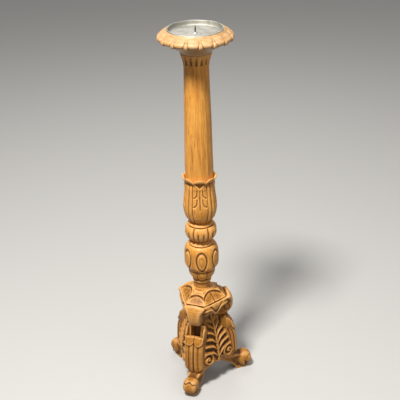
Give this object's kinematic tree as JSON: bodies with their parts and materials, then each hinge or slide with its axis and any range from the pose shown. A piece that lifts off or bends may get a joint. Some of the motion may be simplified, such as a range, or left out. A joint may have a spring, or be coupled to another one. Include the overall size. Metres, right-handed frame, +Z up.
{
  "type": "floor candlestick",
  "caption": "Carved wooden floor candlestick: lobed dish with a lift-out metal drip pan and pricket, fluted column with leaf calyx, knop and baluster, on a scroll-legged tripod base.",
  "frame": {"origin": "on the stem's axis at floor level, in the middle of the three feet", "axes": "+Z up along the stem, -Y towards the front leg, +X to that leg's right as seen from it"},
  "size_m": [0.2276, 0.2154, 0.9557],
  "materials": {
    "carved_wood": "honey stain with a dark glaze in the hollows and rubbed light edges, satin wax",
    "dish_wood": "the same stain, worn lighter, satin wax",
    "core_wood": "plain sawn softwood",
    "dowel_wood": "bare beech",
    "pan_metal": "dull grey tinned sheet with a bright rolled rim",
    "spike_metal": "dark forged iron",
    "collar_metal": "solder boss, dull silver"
  },
  "bodies": {
    "stand": {"dish": "dish_wood", "column_shaft": "carved_wood", "leaf_calyx": "carved_wood", "knop": "carved_wood", "baluster": "carved_wood", "base_cap": "carved_wood", "pedestal_core": "core_wood", "leaf_panel_right": "carved_wood", "leaf_panel_rear": "carved_wood", "leaf_panel_left": "carved_wood", "leg_front": "carved_wood", "leg_right": "carved_wood", "leg_left": "carved_wood", "foot_front": "carved_wood", "foot_right": "carved_wood", "foot_left": "carved_wood", "dish_dowel": "dowel_wood", "shaft_dowel": "dowel_wood", "stem_dowel": "dowel_wood", "base_dowel": "dowel_wood", "cap_dowels": "dowel_wood", "leg_dowels": "dowel_wood", "foot_dowels": "dowel_wood"},
    "pan": {"drip_pan": "pan_metal", "pricket": "spike_metal", "pricket_collar": "collar_metal"}
  },
  "joints": [
    {"name": "pan_lift", "type": "slide", "parent": "stand", "child": "pan", "axis": [0, 0, 1], "range_m": [0, 0.06]}
  ]
}
